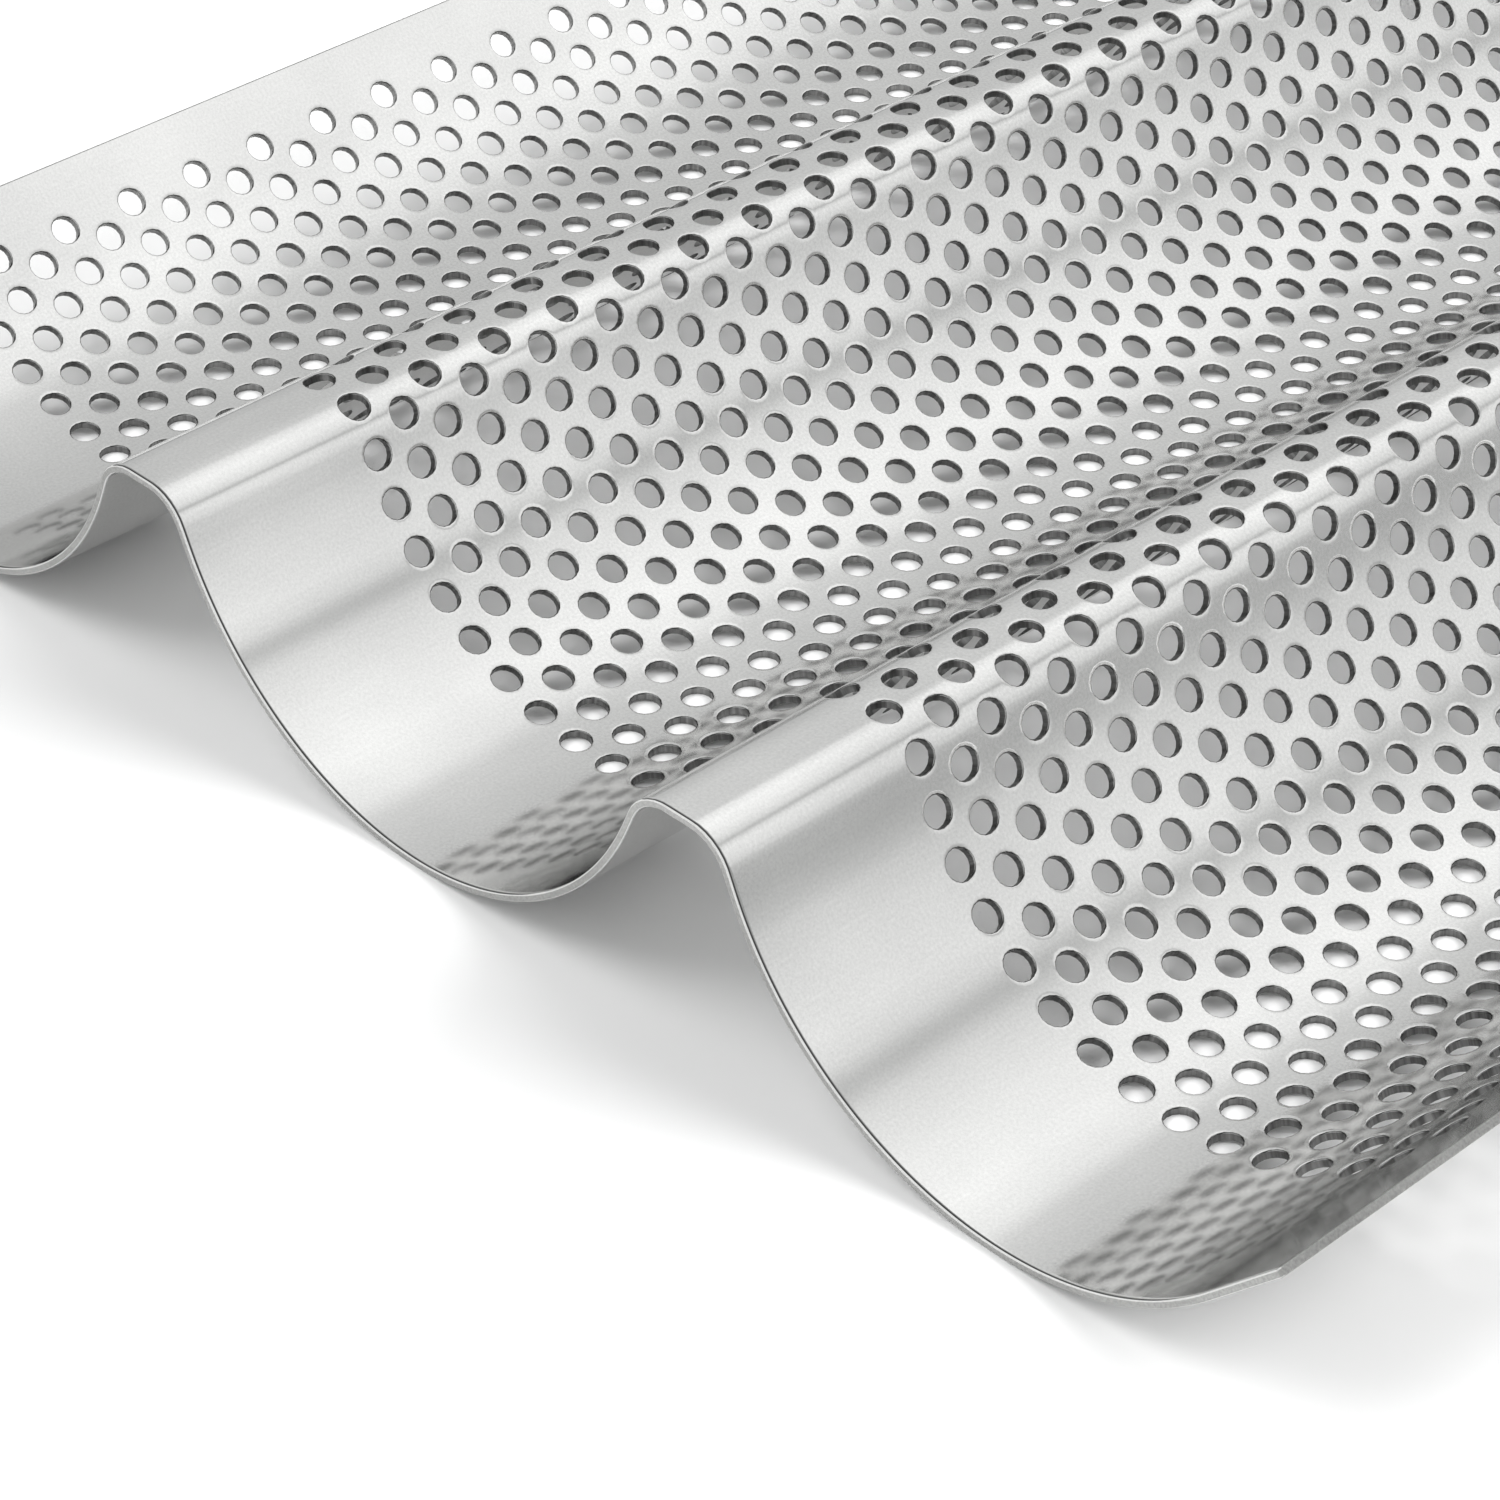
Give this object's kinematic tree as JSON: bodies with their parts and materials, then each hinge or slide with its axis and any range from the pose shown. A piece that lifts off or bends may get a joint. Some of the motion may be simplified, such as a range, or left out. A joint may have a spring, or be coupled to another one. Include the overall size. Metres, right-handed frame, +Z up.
{
  "type": "baguette tray",
  "caption": "Open baguette tray: a perforated stainless sheet bent into a wave of long round-bottomed channels with flat-topped ridges between them.",
  "frame": {"origin": "on the surface the tray stands on, below the middle of the tray", "axes": "+X across the channels, +Y along the channels, +Z up out of the channels"},
  "size_m": [0.2042, 0.3784, 0.0245],
  "materials": {
    "sheet": "satin, fine grain"
  },
  "bodies": {
    "root": {"middle_floor_left": "sheet", "middle_floor_right": "sheet", "middle_flank_left": "sheet", "middle_flank_right": "sheet", "middle_wall_left": "sheet", "middle_wall_right": "sheet", "ridge_inner_left": "sheet", "ridge_inner_right": "sheet", "ridge_outer_left": "sheet", "ridge_outer_right": "sheet", "side_wall_left": "sheet", "side_wall_right": "sheet", "side_flank_left": "sheet", "side_flank_right": "sheet", "side_floor_inner_left": "sheet", "side_floor_inner_right": "sheet", "side_floor_outer_left": "sheet", "side_floor_outer_right": "sheet", "side_rise_left": "sheet", "side_rise_right": "sheet", "lip_left": "sheet", "lip_right": "sheet"}
  },
  "joints": []
}
